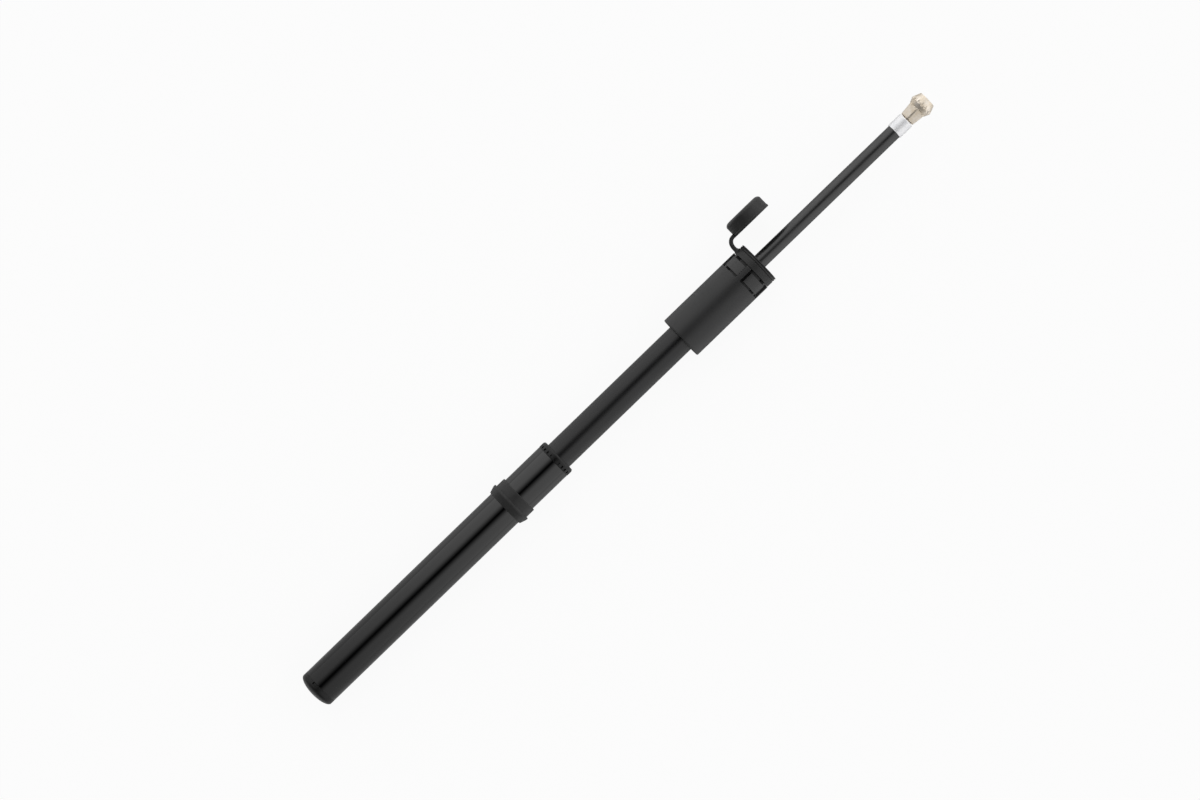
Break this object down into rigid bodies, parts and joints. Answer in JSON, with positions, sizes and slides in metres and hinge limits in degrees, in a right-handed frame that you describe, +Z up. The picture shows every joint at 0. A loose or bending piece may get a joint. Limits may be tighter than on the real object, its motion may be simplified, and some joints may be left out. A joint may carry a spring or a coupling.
{
  "type": "telescoping hand pump",
  "caption": "Telescoping bicycle hand pump lying on its side: slim barrel, sliding shaft with sleeve head, pull-out hose with screw-on chuck, and a hinged rubber dust cap.",
  "frame": {"origin": "centre of the end cap's flat face, on the pump's axis", "axes": "+X along the pump's axis towards the chuck, +Y towards the open dust cap, +Z up; the pump lies on its side"},
  "size_m": [0.4788, 0.0413, 0.0268],
  "materials": {
    "barrel_paint": "gloss black paint",
    "shaft_anodising": "satin black anodised",
    "black_plastic": "moulded black",
    "black_rubber": "matte moulded rubber",
    "hose_rubber": "satin extruded rubber",
    "seal_rubber": "satin rubber",
    "bearing_plastic": "natural acetal",
    "silver": "polished silver",
    "brass": "pale polished brass",
    "steel": "bright spring steel"
  },
  "bodies": {
    "barrel": {"barrel_tube": "barrel_paint", "end_cap": "black_plastic", "end_cap_oring": "seal_rubber", "bumper_ring": "black_rubber", "gland_nut": "black_plastic", "shaft_guide_bush": "bearing_plastic", "shaft_wiper": "seal_rubber"},
    "piston_rings": {"piston_seal_ring": "seal_rubber", "piston_wear_ring": "bearing_plastic"},
    "handle": {"piston_body": "brass", "check_valve_spring": "steel", "check_valve_retainer": "brass", "shaft_tube": "shaft_anodising", "head_sleeve": "shaft_anodising", "head_core": "black_plastic", "hose_guide_bush": "bearing_plastic", "cap_collar": "black_rubber", "cap_strap": "black_rubber"},
    "valve_ball": {"check_valve_ball": "steel"},
    "cap": {"dust_cap": "black_rubber"},
    "hose": {"hose": "hose_rubber", "hose_plug": "brass", "hose_plug_oring": "seal_rubber", "hose_plug_clamp": "silver", "hose_ferrule": "silver", "chuck_stem": "brass", "chuck_stem_oring": "seal_rubber"},
    "chuck": {"chuck_body": "brass", "chuck_seal": "seal_rubber", "valve_pin": "brass"}
  },
  "joints": [
    {"name": "pump_stroke", "type": "slide", "parent": "barrel", "child": "piston_rings", "axis": [1, 0, 0], "range_m": [-0.1314, 0]},
    {"name": "handle_twist", "type": "hinge", "parent": "piston_rings", "child": "handle", "pos_m": [0.15, 0, 0], "axis": [1, 0, 0], "continuous": true},
    {"name": "valve_lift", "type": "slide", "parent": "handle", "child": "valve_ball", "axis": [1, 0, 0], "range_m": [0, 0.001], "stiffness_N_per_m": 20, "springref_m": -0.002, "deforming": ["check_valve_spring"]},
    {"name": "cap_hinge", "type": "hinge", "parent": "handle", "child": "cap", "pos_m": [0.34491, 0.0158, 0], "axis": [0, 0, 1], "range_deg": [-28, 85], "stiffness_Nm_per_rad": 0.004, "deforming": ["cap_strap"]},
    {"name": "hose_slide", "type": "slide", "parent": "handle", "child": "hose", "axis": [1, 0, 0], "range_m": [-0.127, 0]},
    {"name": "chuck_spin", "type": "hinge", "parent": "hose", "child": "chuck", "pos_m": [0.47, 0, 0], "axis": [1, 0, 0], "continuous": true}
  ]
}
